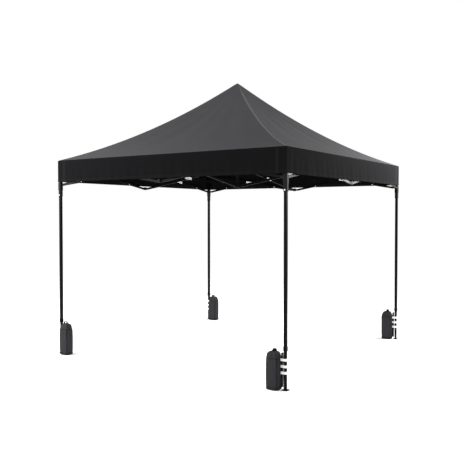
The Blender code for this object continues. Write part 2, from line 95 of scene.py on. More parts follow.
def closed_cloth(name, outer, normals, thickness, uv, seam, around=False):
    """A sheet as a thin closed shell. The outer grid is given, and the inner one lies the thickness below it along
    the normals; four strips close the edges. The shading normals are the given ones, so that strips which lie
    edge to edge look like one sheet. around joins the last column to the first one."""
    rows, columns = outer.shape[:2]
    points = np.concatenate([outer.reshape(-1, 3), (outer - normals * thickness).reshape(-1, 3)])
    index = np.arange(rows * columns).reshape(rows, columns)
    wide = np.concatenate([index, index[:, :1]], axis=1) if around else index
    quads = np.stack([wide[:-1, :-1], wide[1:, :-1], wide[1:, 1:], wide[:-1, 1:]], -1).reshape(-1, 4)
    inner = quads[:, ::-1] + rows * columns
    borders = [wide[0, ::-1], wide[-1]]
    if not around:
        borders += [wide[:, 0], wide[::-1, -1]]
    below = rows * columns
    edges = [np.stack([b[1:], b[:-1], b[:-1] + below, b[1:] + below], -1) for b in borders]
    mesh = bpy.data.meshes.new(name)
    mesh.from_pydata(points, [], np.concatenate([quads, inner, *edges]))
    layer = mesh.uv_layers.new(name="cloth")
    loops = np.empty(len(mesh.loops), np.int32)
    mesh.loops.foreach_get("vertex_index", loops)
    layer.data.foreach_set("uv", np.concatenate([uv.reshape(-1, 2)] * 2)[loops].astype(np.float32).ravel())
    sewn = mesh.attributes.new("sewn", "FLOAT", "POINT")
    sewn.data.foreach_set("value", np.concatenate([seam.ravel()] * 2).astype(np.float32))
    shading = mesh.attributes.new("shading", "FLOAT_VECTOR", "POINT")
    both = np.concatenate([normals.reshape(-1, 3), -normals.reshape(-1, 3)])
    shading.data.foreach_set("vector", both.astype(np.float32).ravel())
    shell = bmesh.new()
    shell.from_mesh(mesh)
    bmesh.ops.remove_doubles(shell, verts=shell.verts, dist=1e-5)
    bmesh.ops.dissolve_degenerate(shell, edges=shell.edges, dist=1e-6)
    shell.to_mesh(mesh)
    shell.free()
    kept = np.empty(len(mesh.vertices) * 3, np.float32)
    mesh.attributes["shading"].data.foreach_get("vector", kept)
    mesh.shade_smooth()
    mesh.normals_split_custom_set_from_vertices(kept.reshape(-1, 3))
    mesh.attributes.remove(mesh.attributes["shading"])
    piece = bpy.data.objects.new(name, mesh)
    bpy.context.scene.collection.objects.link(piece)
    return piece


def linear(hex_colour):
    """sRGB hex to linear red, green and blue, with alpha 1."""
    values = np.array([int(hex_colour[k : k + 2], 16) for k in (1, 3, 5)]) / 255
    values = np.where(values <= 0.04045, values / 12.92, ((values + 0.055) / 1.055) ** 2.4)
    return (*values.tolist(), 1.0)


def new_finish(name):
    """A new material, its node tree and its shader."""
    material = bpy.data.materials.new(name)
    material.use_nodes = True
    return material, material.node_tree, material.node_tree.nodes["Principled BSDF"]


def add(tree, kind, inputs=(), **settings):
    """Adds one node. settings are its own properties, and inputs its values or the sockets that feed them."""
    node = tree.nodes.new(kind)
    for key, value in settings.items():
        setattr(node, key, value)
    for key, value in dict(inputs).items():
        if isinstance(value, bpy.types.NodeSocket):
            tree.links.new(value, node.inputs[key])
        else:
            node.inputs[key].default_value = value
    return node


def woven_polyester(name, cloth_colour, seam_colour, roughness, specular):
    """Coated polyester, plain weave. The weave's height is the product of two sine waves along the cloth's own
    measurements. A real thread is 0.5 mm wide; it is drawn 3 mm wide, because a finer one doesn't show."""
    material, tree, shader = new_finish(name)
    cloth = add(tree, "ShaderNodeUVMap", uv_map="cloth").outputs["UV"]
    warp = add(tree, "ShaderNodeTexWave", {"Vector": cloth, "Scale": 104.7}, bands_direction="X")
    weft = add(tree, "ShaderNodeTexWave", {"Vector": cloth, "Scale": 104.7}, bands_direction="Y")
    weave = add(tree, "ShaderNodeMath", {0: warp.outputs["Fac"], 1: weft.outputs["Fac"]}, operation="MULTIPLY")
    place = add(tree, "ShaderNodeTexCoord").outputs["Object"]
    # Creases of about 90 mm and a change of tone over about 0.6 m, as in cloth that was packed away.
    crumple = add(tree, "ShaderNodeTexNoise", {"Vector": place, "Scale": 11.0, "Detail": 3.0, "Roughness": 0.45})
    cloudy = add(tree, "ShaderNodeTexNoise", {"Vector": place, "Scale": 1.7, "Detail": 2.0, "Roughness": 0.5})
    darker = [0.86 * c for c in linear(cloth_colour)[:3]] + [1.0]
    lighter = [1.12 * c for c in linear(cloth_colour)[:3]] + [1.0]
    body = add(tree, "ShaderNodeMix", {0: cloudy.outputs["Fac"], 6: darker, 7: lighter}, data_type="RGBA")
    sewn = add(tree, "ShaderNodeAttribute", attribute_name="sewn").outputs["Fac"]
    colour = add(
        tree, "ShaderNodeMix", {0: sewn, 6: body.outputs[2], 7: linear(seam_colour)}, data_type="RGBA"
    )
    big = add(tree, "ShaderNodeBump", {"Strength": 0.10, "Distance": 0.01, "Height": crumple.outputs["Fac"]})
    fine = add(
        tree,
        "ShaderNodeBump",
        {"Strength": 0.25, "Distance": 0.0004, "Height": weave.outputs[0], "Normal": big.outputs["Normal"]},
    )
    tree.links.new(colour.outputs[2], shader.inputs["Base Color"])
    tree.links.new(fine.outputs["Normal"], shader.inputs["Normal"])
    shader.inputs["Roughness"].default_value = roughness
    shader.inputs["Specular IOR Level"].default_value = specular
    return material


# The roof's upper side catches the light, and its coating gives a dull sheen. Sewn laps look lighter.
roof_cloth = woven_polyester("woven polyester, coated black", "#2b2b2d", "#47474a", 0.68, 0.09)


def roof_strip(name, side, corner, rows, near, far):
    """One strip of a half panel. Rows run from the peak to the eave and columns along the side, from near to far,
    which are functions of the row's distance; columns crowd together at the hip, where the seam lies. Returns the
    strip, its area, and its longest column and row laid flat."""
    out = np.array([*SIDES[side], 0.0])
    way = np.array([*CORNERS[corner], 0.0]) - out
    left = np.cross(UP, out)
    sign = float(way @ left)
    a = rows[:, None]
    start, end = near(a), far(a)
    span = np.maximum(end - start - 0.016, 0.0)
    steps = np.linspace(0.0, 1.0, STRIP_COLUMNS)[None, :]
    by_the_hip = np.array([0.013, 0.0105, 0.006, 0.0])[None, :]
    b = np.concatenate([start + steps * span, np.maximum(end - by_the_hip, start)], axis=1)
    a = np.broadcast_to(a, b.shape)
    c = b * sign
    step = 0.004
    height = roof_z(a, c, side)
    rise_a = (roof_z(a + step, c, side) - roof_z(a - step, c, side)) / (2 * step)
    inward = np.where(np.abs(c) + step > a, c - sign * step, c)
    rise_c = (roof_z(a, inward + step * 0.5, side) - roof_z(a, inward - step * 0.5, side)) / step
    points = a[..., None] * out + c[..., None] * left + height[..., None] * UP
    normals = UP - rise_a[..., None] * out - rise_c[..., None] * left
    normals /= np.linalg.norm(normals, axis=-1, keepdims=True)
    if sign < 0:
        points, normals, a, b = points[:, ::-1], normals[:, ::-1], a[:, ::-1], b[:, ::-1]
    seam = 1 - smooth(a - b, *HIP_LAP)
    # Down the slope the cloth is 1.17 times as long as its plan.
    uv = np.stack([b, a * 1.17], -1)
    piece = closed_cloth(name, points, normals, CLOTH, uv, seam * 0.8)
    piece.data.materials.append(roof_cloth)
    across = np.linalg.norm(np.diff(points, axis=0), axis=-1)
    along = np.linalg.norm(np.diff(points, axis=1), axis=-1)
    middle = (across[:, 1:] + across[:, :-1]) / 2
    area = float((middle * (along[1:] + along[:-1]) / 2).sum())
    return piece, area, float(across.sum(axis=0).max()), float(along.sum(axis=1).max())


upper_rows = np.concatenate([[LID_HALF], np.arange(0.21, 0.73, GRID), [CROSSING]])
lower_rows = np.concatenate([np.arange(CROSSING, 1.455, GRID), [1.462, FOLD_START]])
# Each kind of strip: its name, its rows, its near and far edge, and which bar of the pair carries it.
strip_kinds = (
    (
        "near",
        np.concatenate([upper_rows, lower_rows[1:]]),
        lambda a: a * 0,
        lambda a: np.minimum(a, CROSSING),
        "down",
    ),
    ("far", lower_rows, lambda a: a * 0 + CROSSING, lambda a: a, "up"),
)
for side, direction in SIDES.items():
    for corner in SIDE_ENDS[side]:
        for part, rows, near, far, bar in strip_kinds:
            strip, area, length, width = roof_strip(f"roof_{part}_{side}_{corner}", side, corner, rows, near, far)
            # The width is the longest row, or a hair more where the area asks for it.
            width = max(width, area / length / 0.999)
            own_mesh(strip)
            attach(strip, f"side_{bar}_{side}_{corner}")

# Peak of the cover: the same cloth, where the four panels and their hip laps meet in a rounded tip over the mast.
# It stays with the centre hub when the frame folds.
PEAK_ROUND = 0.006
lid_rows = np.array([0.0, 0.004, 0.010, 0.018, 0.03, 0.045, 0.065, 0.09, 0.12, 0.15, 0.175, LID_HALF])[:, None]


def peak_z(out_from_middle, along, side):
    """The roof's height with a rounded tip: near the middle the distance a becomes the root of a^2 + (6 mm)^2."""
    rounded = np.sqrt(out_from_middle**2 + PEAK_ROUND**2) - out_from_middle
    rounded = rounded * (1 - smooth(out_from_middle, 0.05, 0.15))
    return roof_z(out_from_middle + rounded, along, side)


ring_points, ring_normals, ring_seam = [], [], []
for side in ("fr", "br", "bl", "fl"):
    out = np.array([*SIDES[side], 0.0])
    left = np.cross(UP, out)
    first_lap = -1 + np.array([0.0, 0.032, 0.055, 0.068])
    share = np.concatenate([first_lap, np.linspace(-0.9, 0.9, 15), [0.932, 0.945, 0.968]])
    c = lid_rows * share[None, :]
    a = np.broadcast_to(lid_rows, c.shape)
    z = peak_z(a, c, side)
    points = a[..., None] * out + c[..., None] * left + z[..., None] * UP
    fall = (peak_z(a + 0.001, c, side) - peak_z(np.maximum(a - 0.001, 0.0), c, side)) / 0.002
    # On the hip itself the shading faces halfway between the two sides.
    facing = np.broadcast_to(out, points.shape).copy()
    facing[:, 0] = (out - left) / 2
    normals = UP - (fall * smooth(a, 0.0, 0.012))[..., None] * facing
    ring_points.append(points)
    ring_normals.append(normals / np.linalg.norm(normals, axis=-1, keepdims=True))
    in_lap = 1 - smooth(1 - np.abs(share), 0.058, 0.072)
    ring_seam.append(np.broadcast_to(in_lap, c.shape) * smooth(a, 0.0, 0.05))
lid_points = np.concatenate(ring_points, axis=1)
lid_normals = np.concatenate(ring_normals, axis=1)
lid_seam = np.concatenate(ring_seam, axis=1) * 0.8
peak = closed_cloth("roof_peak", lid_points, lid_normals, CLOTH, lid_points[..., :2], lid_seam, around=True)
peak.data.materials.append(roof_cloth)
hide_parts("canopy")
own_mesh(peak)
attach(peak, "centre")

# Valances: four straight skirts of the same cloth, sewn on where the roof turns over the eave. Each has a vertical
# lap near both ends, where it is closed at the corner, and a doubled hem.
VALANCE_BOTTOM = 1.96
VALANCE_DOWN = EAVE_Z - 0.0098  # the turn at the eave ends here, and below it the cloth hangs straight
EAVE_SLOPE = 0.3535  # how steep the roof is at the eave, in radians
TURN_RADIUS = 0.014
HEM_TOP = 1.9858
LAP_NEAR = (1.362, 1.3632)  # the vertical lap's two edges, each a step one cloth high
LAP_FAR = (1.397, 1.3982)
# The hanging cloth faces away from the sky. Its shade is painted into its colour: this copy of the roof's cloth is
# much darker than the roof's own.
valance_cloth_painted_shade = woven_polyester("woven polyester, coated black, painted shade", "#101011", "#161617", 0.75, 0.004)
turn_angle = np.linspace(0.0, 1.0, 8) * (math.pi / 2 - EAVE_SLOPE) + EAVE_SLOPE
arc_a = COVER_HALF - TURN_RADIUS + TURN_RADIUS * np.sin(turn_angle)
arc_z = TURN_RADIUS * np.cos(turn_angle)
arc_z = arc_z - arc_z[-1] + VALANCE_DOWN
hem_z = [1.9865, 1.9855, 1.980, 1.970, 1.963, 1.961, VALANCE_BOTTOM]
drop_z = np.concatenate([np.linspace(2.184, 1.992, 13), hem_z])
drop_a = COVER_HALF + 0.0007 * (1 - smooth(drop_z, 1.9857, 1.9862))
profile_a = np.concatenate([arc_a, drop_a])
profile_z = np.concatenate([arc_z, drop_z])
profile_s = np.concatenate([[0.0], np.cumsum(np.hypot(np.diff(profile_a), np.diff(profile_z)))])
lap_shares = np.array([*LAP_NEAR, *LAP_FAR]) / COVER_HALF
half_along = np.unique(np.round(np.concatenate([np.linspace(0.0, 1.0, 112), lap_shares]), 5))
along_share = np.concatenate([-half_along[::-1], half_along[1:]])
for side, direction in SIDES.items():
    out = np.array([*direction, 0.0])
    left = np.cross(UP, out)
    a = np.broadcast_to(profile_a[:, None], (len(profile_a), len(along_share)))
    z = np.broadcast_to(profile_z[:, None], a.shape)
    c = a * along_share[None, :]
    # The skirt ripples by about 1 mm, more towards its hem and not at the corners.
    hang = smooth(EAVE_Z - z, 0.012, 0.2)
    loose = 1 - np.abs(along_share[None, :]) ** 10
    phase = {"fl": 0.0, "fr": 1.1, "br": 2.7, "bl": 4.0}[side]
    waves = 0.0011 * np.sin(24.0 * c + phase) + 0.0009 * np.sin(53.0 * c + 2.0 * phase + 9.0 * z)
    # Two faint pulls just below the eave, drawn as shallow level folds.
    pulls = 0.0
    for height, place, reach in ((2.150, -1.28, 0.13), (2.125, 1.01, 0.12)):
        pulls = pulls + 0.0016 * np.exp(-(((z - height) / 0.007) ** 2)) * np.exp(-(((c - place) / reach) ** 2))
    lap = smooth(np.abs(c), *LAP_NEAR) * (1 - smooth(np.abs(c), *LAP_FAR)) * smooth(EAVE_Z - z, 0.010, 0.011)
    proud = waves * hang * loose - 0.0012 * hang * loose + pulls + 0.0008 * lap
    proud = np.where(z > VALANCE_DOWN, 0.0, proud)
    points = (a + proud)[..., None] * out + c[..., None] * left + z[..., None] * UP
    normals = np.cross(np.gradient(points, axis=0), np.gradient(points, axis=1))
    normals /= np.linalg.norm(normals, axis=-1, keepdims=True)
    normals[0] = math.sin(EAVE_SLOPE) * out + math.cos(EAVE_SLOPE) * UP
    hem = smooth(-z, -1.9865, -1.9855) * 0.22 + np.exp(-(((z - HEM_TOP) / 0.0014) ** 2)) * 0.5
    sewn = np.clip(lap * 0.9 + hem, 0, 1)
    uv = np.stack([np.broadcast_to(c, a.shape), np.broadcast_to(profile_s[:, None], a.shape)], -1)
    valance = closed_cloth(f"valance_{side}", points, normals, CLOTH, uv, sewn)
    # The valance's darker copy of the cloth is painted shade.
    valance.data.materials.append(valance_cloth_painted_shade)
    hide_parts("canopy")
    middle = out * COVER_HALF
    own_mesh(valance)
    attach(valance, f"mid_top_{side}")

# Truss bars, legs and mast: cold-rolled steel tube, powder coated satin black. The coat has a faint orange peel,
# and rubbed places show a little lighter.
steel, tree, shader = new_finish("mild steel tube, powder coated satin black")
place = add(tree, "ShaderNodeTexCoord").outputs["Object"]
# The orange peel is about 2.4 mm across, and the rubbed streaks are 6 mm wide and 170 mm long.
peel = add(tree, "ShaderNodeTexNoise", {"Vector": place, "Scale": 420.0, "Detail": 1.0, "Roughness": 0.4})
stretched = add(tree, "ShaderNodeMapping", {"Vector": place, "Scale": (160.0, 160.0, 6.0)})
rub = add(tree, "ShaderNodeTexNoise", {"Vector": stretched.outputs[0], "Scale": 1.0, "Detail": 3.0, "Roughness": 0.6})
rubbed_off = {"Value": rub.outputs["Fac"], "From Min": 0.56, "From Max": 0.78, "To Max": 0.35}
worn = add(tree, "ShaderNodeMapRange", rubbed_off)
coat_colours = {0: worn.outputs["Result"], 6: linear("#060607"), 7: linear("#161617")}
coat = add(tree, "ShaderNodeMix", coat_colours, data_type="RGBA")
sheen = add(tree, "ShaderNodeMapRange", {"Value": rub.outputs["Fac"], "To Min": 0.38, "To Max": 0.52})
skin = add(tree, "ShaderNodeBump", {"Strength": 0.12, "Distance": 0.0004, "Height": peel.outputs["Fac"]})
tree.links.new(coat.outputs[2], shader.inputs["Base Color"])
tree.links.new(sheen.outputs["Result"], shader.inputs["Roughness"])
tree.links.new(skin.outputs["Normal"], shader.inputs["Normal"])
shader.inputs["Specular IOR Level"].default_value = 0.05

# Hubs, brackets and sliders: glass-filled nylon, injection moulded, with a fine spark-eroded grain that keeps them
# matt. The resin's flow leaves faint clouds in the black.
nylon, tree, shader = new_finish("glass-filled nylon, injection moulded black")
place = add(tree, "ShaderNodeTexCoord").outputs["Object"]
# The grain is about 0.1 mm on the real part; it is drawn 1.1 mm across, because a finer one doesn't show.
grain = add(tree, "ShaderNodeTexNoise", {"Vector": place, "Scale": 900.0, "Detail": 2.0, "Roughness": 0.6})
flow = add(tree, "ShaderNodeTexNoise", {"Vector": place, "Scale": 35.0, "Detail": 2.0, "Distortion": 0.6})
resin_colours = {0: flow.outputs["Fac"], 6: linear("#060607"), 7: linear("#111112")}
resin = add(tree, "ShaderNodeMix", resin_colours, data_type="RGBA")
matt = add(tree, "ShaderNodeMapRange", {"Value": grain.outputs["Fac"], "To Min": 0.5, "To Max": 0.72})
spark = add(tree, "ShaderNodeBump", {"Strength": 0.3, "Distance": 0.0003, "Height": grain.outputs["Fac"]})
tree.links.new(resin.outputs[2], shader.inputs["Base Color"])
tree.links.new(matt.outputs["Result"], shader.inputs["Roughness"])
tree.links.new(spark.outputs["Normal"], shader.inputs["Normal"])
shader.inputs["Specular IOR Level"].default_value = 0.08

# Rivets and bolt heads: steel, cold headed and zinc plated. The plating has a soft crystalline bloom, which scatters
# so much light that the heads read as pale dots and not as mirrors; so they are only partly metallic.
zinc, tree, shader = new_finish("steel rivet, cold headed and zinc plated")
place = add(tree, "ShaderNodeTexCoord").outputs["Object"]
# The bloom's spots are about 4 mm across.
bloom = add(tree, "ShaderNodeTexNoise", {"Vector": place, "Scale": 260.0, "Detail": 3.0, "Roughness": 0.55})
plate_colours = {0: bloom.outputs["Fac"], 6: linear("#a9abad"), 7: linear("#dfe1e2")}
plate = add(tree, "ShaderNodeMix", plate_colours, data_type="RGBA")
dull = add(tree, "ShaderNodeMapRange", {"Value": bloom.outputs["Fac"], "To Min": 0.3, "To Max": 0.5})
tree.links.new(plate.outputs[2], shader.inputs["Base Color"])
tree.links.new(dull.outputs["Result"], shader.inputs["Roughness"])
shader.inputs["Metallic"].default_value = 0.55

# The solids that stay get their finish here. The canopy and the bags have pieces of their own.
for name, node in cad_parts.items():
    if name == "canopy" or name.startswith("weight_bag"):
        continue
    if name.startswith("corner_rivet"):
        finish = zinc
    elif name.startswith(("top_hub", "lower_hub", "mid_", "corner_bracket", "slider")):
        finish = nylon
    else:
        finish = steel
    node.data.materials.clear()
    node.data.materials.append(finish)

# Bolts through the side bars, 0.275 m from each bar's lower pivot: zinc-plated, with a domed head on the bar's free
# face and a flat one on the face towards the other bar. They show as bright dots under the eaves.
HALF_SPAN = 1.46  # from the middle to a leg's centre
TOP_Z = 2.17
LOW_Z = 1.93
PIVOT_OUT = 0.045  # a bar's pivot lies this far from its node
LAYER = 0.007  # each bar of a pair lies this far from the pair's middle
BAR_HALF = 0.0055
BOLT_REACH = 0.275


def domed_head(centre, axis, radius, height, sides=16):
    """A bolt head: rings of a circle whose radius falls as the square root of 1 - (height share)^2, closed by a
    pole above and below. Returns points and faces with the faces outwards."""
    axis = np.asarray(axis, float)
    first = np.cross(axis, UP)
    first /= np.linalg.norm(first)
    second = np.cross(axis, first)
    level = np.array([0.0, 0.25, 0.5, 0.75, 0.93])
    angle = np.linspace(0, 2 * math.pi, sides, endpoint=False)
    ring = np.cos(angle)[:, None] * first + np.sin(angle)[:, None] * second
    rings = centre + level[:, None, None] * height * axis + (np.sqrt(1 - level**2) * radius)[:, None, None] * ring
    points = np.concatenate([rings.reshape(-1, 3), [centre, centre + axis * height]])
    index = np.arange(len(level) * sides).reshape(len(level), sides)
    after = np.roll(index, -1, axis=1)
    faces = np.stack([index[:-1], after[:-1], after[1:], index[1:]], -1).reshape(-1, 4).tolist()
    pole = len(level) * sides
    faces += np.stack([after[0], index[0], np.full(sides, pole)], -1).tolist()
    faces += np.stack([index[-1], after[-1], np.full(sides, pole + 1)], -1).tolist()
    return points, faces


def joined_piece(name, solids, material, smooth_below=40):
    """Closed solids side by side in one object, with edges sharper than the given angle left crisp."""
    points, faces, start = [], [], 0
    for solid_points, solid_faces in solids:
        points.append(np.asarray(solid_points))
        faces += [[index + start for index in face] for face in solid_faces]
        start += len(solid_points)
    mesh = bpy.data.meshes.new(name)
    mesh.from_pydata(np.concatenate(points), [], faces)
    mesh.shade_smooth()
    mesh.set_sharp_from_angle(angle=math.radians(smooth_below))
    mesh.materials.append(material)
    piece = bpy.data.objects.new(name, mesh)
    bpy.context.scene.collection.objects.link(piece)
    return piece


bar_slope = (TOP_Z - LOW_Z) / (HALF_SPAN - 2 * PIVOT_OUT)
for side, direction in SIDES.items():
    out = np.array([*direction, 0.0])
    left = np.cross(UP, out)
    for corner in SIDE_ENDS[side]:
        way = np.array([*CORNERS[corner], 0.0]) - out
        turn = float(way @ left)
        for kind, reach in (("down", HALF_SPAN - PIVOT_OUT - BOLT_REACH), ("up", PIVOT_OUT + BOLT_REACH)):
            fall = -bar_slope if kind == "down" else bar_slope
            z = (TOP_Z if kind == "down" else LOW_Z) + fall * (reach - PIVOT_OUT)
            face = turn * out if kind == "down" else -turn * out
            middle = out * HALF_SPAN + way * reach + face * LAYER + UP * z
            heads = [
                domed_head(middle + face * BAR_HALF, face, 0.0085, 0.0026),
                domed_head(middle - face * BAR_HALF, -face, 0.0075, 0.0012),
            ]
            bolt = joined_piece(f"bar_bolt_{kind}_{side}_{corner}", heads, zinc)
            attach(bolt, f"side_{kind}_{side}_{corner}")

# Crossing clips: a light grey moulded channel snapped over a bar where two bars cross, on both bars inside the frame
# and on the inner bar round the sides. It covers the rivet's head and keeps the cloth off it.
CLIP_LENGTH = 0.11
# The plastic is milky and nearly white, so the clips are the lightest things under the eaves.
clip_plastic, tree, shader = new_finish("polypropylene clip, injection moulded light grey")
place = add(tree, "ShaderNodeTexCoord").outputs["Object"]
# Clouds of about 14 mm, where the melt cooled unevenly.
haze = add(tree, "ShaderNodeTexNoise", {"Vector": place, "Scale": 70.0, "Detail": 3.0, "Roughness": 0.6})
milky_colours = {0: haze.outputs["Fac"], 6: linear("#d2d2d0"), 7: linear("#f4f4f2")}
milky = add(tree, "ShaderNodeMix", milky_colours, data_type="RGBA")
tree.links.new(milky.outputs[2], shader.inputs["Base Color"])
shader.inputs["Roughness"].default_value = 0.45


def channel(centre, along, face, length):
    """A shallow channel over a bar. Its section is a closed U with rounded outer corners, carried straight along
    the bar, and the last 1.5 % of its length at each end draws in a little, as a moulding does."""
    along = along / np.linalg.norm(along)
    high = np.cross(face, along)
    half, wall, bend, back, front = 0.0128, 0.0016, 0.002, 0.0015, BAR_HALF + 0.0022
    corner = np.linspace(0, math.pi / 2, 4)
    round_x = front + wall - bend + bend * np.sin(corner)
    round_y = half + wall - bend + bend * np.cos(corner)
    outer = np.concatenate(
        [
            [[back, half + wall]],
            np.stack([round_x, round_y], -1),
            np.stack([round_x[::-1], -round_y[::-1]], -1),
            [[back, -half - wall]],
        ]
    )
    inner = np.array([[back, -half], [front, -half], [front, half], [back, half]])
    section = np.concatenate([outer, inner])
    stations = np.array([-0.5, -0.485, 0.485, 0.5]) * length
    drawn_in = np.array([0.955, 1.0, 1.0, 0.955])[:, None, None]
    is_outer = np.arange(len(section))[:, None] < len(outer)
    loops = (
        centre
        + stations[:, None, None] * along
        + section[None, :, :1] * face
        + section[None, :, 1:] * np.where(is_outer, drawn_in, 1.0) * high
    )
    count = len(section)
    index = np.arange(4 * count).reshape(4, count)
    after = np.roll(index, -1, axis=1)
    faces = np.stack([index[:-1], index[1:], after[1:], after[:-1]], -1).reshape(-1, 4).tolist()
    # Each end is closed by strips between the outer line and the inner one.
    pair = np.round(np.linspace(0, 3, len(outer))).astype(int)
    for row, flip in ((0, False), (3, True)):
        for k in range(len(outer) - 1):
            a, b = row * count + k, row * count + k + 1
            c, d = row * count + count - 1 - pair[k + 1], row * count + count - 1 - pair[k]
            cap = [a, b, c, d] if c != d else [a, b, c]
            faces.append(cap[::-1] if flip else cap)
    return loops.reshape(-1, 3), faces


def outward(piece):
    """Turns the faces of closed solids outwards."""
    fix = bmesh.new()
    fix.from_mesh(piece.data)
    bmesh.ops.remove_doubles(fix, verts=fix.verts, dist=1e-6)
    bmesh.ops.recalc_face_normals(fix, faces=fix.faces)
    fix.to_mesh(piece.data)
    fix.free()
    return piece


# Each crossing: the node it starts from, the way its bars run, the face that carries the clip, the clipped bar's
# body, and 1 where that bar falls along the way or -1 where it rises.
crossings = []
for side, direction in SIDES.items():
    out = np.array([*direction, 0.0])
    left = np.cross(UP, out)
    crossings.append((np.zeros(3), out, -left, f"inner_down_{side}", 1))
    crossings.append((np.zeros(3), out, left, f"inner_up_{side}", -1))
    for corner in SIDE_ENDS[side]:
        way = np.array([*CORNERS[corner], 0.0]) - out
        kind, falls = ("down", 1) if float(way @ left) < 0 else ("up", -1)
        crossings.append((out * HALF_SPAN, way, -out, f"side_{kind}_{side}_{corner}", falls))
for base, way, face, body, falls in crossings:
    along = way - falls * bar_slope * UP
    centre = base + way * HALF_SPAN / 2 + UP * (TOP_Z + LOW_Z) / 2 + face * LAYER
    clip = outward(joined_piece(f"clip_{body}", [channel(centre, along, face, CLIP_LENGTH)], clip_plastic))
    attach(clip, body)

# Slider buttons: a cap of the clips' light plastic, moulded over the sprung button in each slider's outer face.
# Pressing it frees the slider from the leg.
BUTTON_Z = 1.81
for corner, (sx, sy) in CORNERS.items():
    face = np.array([0.0, sy, 0.0])
    low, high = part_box(f"slider_{corner}")
    centre = np.array([sx * HALF_SPAN, (high[1] if sy > 0 else low[1]) - sy * 0.0004, BUTTON_Z])
    button = joined_piece(f"slider_button_{corner}", [domed_head(centre, face, 0.0068, 0.0022)], clip_plastic)
    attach(button, f"slider_{corner}")

# Weight bags: upright bags of heavy black polyester, filled with sand. Their sides swell between the corners and
# the shoulders draw in to the sewn top. Piping runs round the base and up the corners.
BAG_NEAR = 0.040  # the bag's sides, inward from the leg's centre
BAG_FAR = 0.170
BAG_ACROSS = -0.027
BAG_HALF_WIDTH = 0.0525
BASE_SEAM_Z = 0.028
SHOULDER_SEAM_Z = 0.290
BAG_TOP_Z = 0.353
PIPING_Z = 0.0105
# The bags' plain cloth is a flat dark grey, with darker sewn seams.
bag_cloth = woven_polyester("heavy polyester, plain woven black", "#28282a", "#161617", 0.85, 0.1)

# Binding tape with soft ribs, coloured as the blackest part of a bag. Up the bag's corners its near-black cords are
# partly real piping and partly painted shade for the dark edges of the rounded corners. The ribs are 1 mm apart;
# they are drawn 2.5 mm apart.
tape_black_and_corner_shade, tree, shader = new_finish("polyester binding tape, folded black, partly painted shade")
place = add(tree, "ShaderNodeTexCoord").outputs["Object"]
rib = add(tree, "ShaderNodeTexWave", {"Vector": place, "Scale": 125.0, "Distortion": 0.4}, bands_direction="Z")
tape_colours = {0: rib.outputs["Fac"], 6: linear("#050506"), 7: linear("#101011")}
tape = add(tree, "ShaderNodeMix", tape_colours, data_type="RGBA")
ribbed = add(tree, "ShaderNodeBump", {"Strength": 0.4, "Distance": 0.0004, "Height": rib.outputs["Fac"]})
tree.links.new(tape.outputs[2], shader.inputs["Base Color"])
tree.links.new(ribbed.outputs["Normal"], shader.inputs["Normal"])
shader.inputs["Roughness"].default_value = 0.85
shader.inputs["Specular IOR Level"].default_value = 0.06

# White webbing is woven as a twill, whose slanting ridges give it a slight shade. They are 1 mm apart, and are
# drawn 2.9 mm apart. The grey webbing is the same weave from grey yarn.
strap_webbing, tree, shader = new_finish("nylon webbing, woven white")
place = add(tree, "ShaderNodeTexCoord").outputs["Object"]
twill = add(tree, "ShaderNodeMapping", {"Vector": place, "Rotation": (0.0, 0.7, 0.7)})
ridge = add(tree, "ShaderNodeTexWave", {"Vector": twill.outputs[0], "Scale": 125.0}, bands_direction="DIAGONAL")
yarn_colours = {0: ridge.outputs["Fac"], 6: linear("#d9d9d7"), 7: linear("#f6f6f4")}
yarn = add(tree, "ShaderNodeMix", yarn_colours, data_type="RGBA")
raised = add(tree, "ShaderNodeBump", {"Strength": 0.35, "Distance": 0.0004, "Height": ridge.outputs["Fac"]})
tree.links.new(yarn.outputs[2], shader.inputs["Base Color"])
tree.links.new(raised.outputs["Normal"], shader.inputs["Normal"])
shader.inputs["Roughness"].default_value = 0.8
shader.inputs["Specular IOR Level"].default_value = 0.2
grey_webbing = strap_webbing.copy()
grey_webbing.name = "nylon webbing, woven grey"
grey_yarn = next(node for node in grey_webbing.node_tree.nodes if node.bl_idname == "ShaderNodeMix")
grey_yarn.inputs[6].default_value = linear("#39393a")
grey_yarn.inputs[7].default_value = linear("#565657")


def bag_outline(angle, half_x, half_y, power):
    """A rounded rectangle: the superellipse |x/a|^p + |y/b|^p = 1 at the given angles."""
    cos, sin = np.cos(angle), np.sin(angle)
    radius = (np.abs(cos) ** power + np.abs(sin) ** power) ** (-1 / power)
    return radius * cos * half_x, radius * sin * half_y


def swell(z):
    """How far the filling pushes the sides out, as a share: a half sine wave from the base to the shoulder, drawn
    flatter by the power 0.7."""
    return 0.035 * np.sin(math.pi * np.clip((z - 0.02) / 0.28, 0, 1)) ** 0.7


def beside_leg(local, sx, sy):
    """From distances inward from the leg and across it to the gazebo's own frame."""
    local = np.asarray(local, float)
    return np.stack([sx * HALF_SPAN - sx * local[..., 0], sy * HALF_SPAN + local[..., 1], local[..., 2]], -1)


def tube_round(path, radius, sides=8):
    """A closed ring of piping: a circle carried along a closed path, square to it."""
    along = np.roll(path, -1, axis=0) - np.roll(path, 1, axis=0)
    along /= np.linalg.norm(along, axis=1, keepdims=True)
    side_way = np.cross(along, UP)
    side_way /= np.linalg.norm(side_way, axis=1, keepdims=True)
    high = np.cross(side_way, along)
    angle = np.linspace(0, 2 * math.pi, sides, endpoint=False)
    rings = (
        path[:, None]
        + radius * np.cos(angle)[None, :, None] * side_way[:, None]
        + radius * np.sin(angle)[None, :, None] * high[:, None]
    )
    index = np.arange(len(path) * sides).reshape(len(path), sides)
    after, ahead = np.roll(index, -1, axis=1), np.roll(index, -1, axis=0)
    both = np.roll(after, -1, axis=0)
    faces = np.stack([index, ahead, both, after], -1).reshape(-1, 4)
    return rings.reshape(-1, 3), faces.tolist()


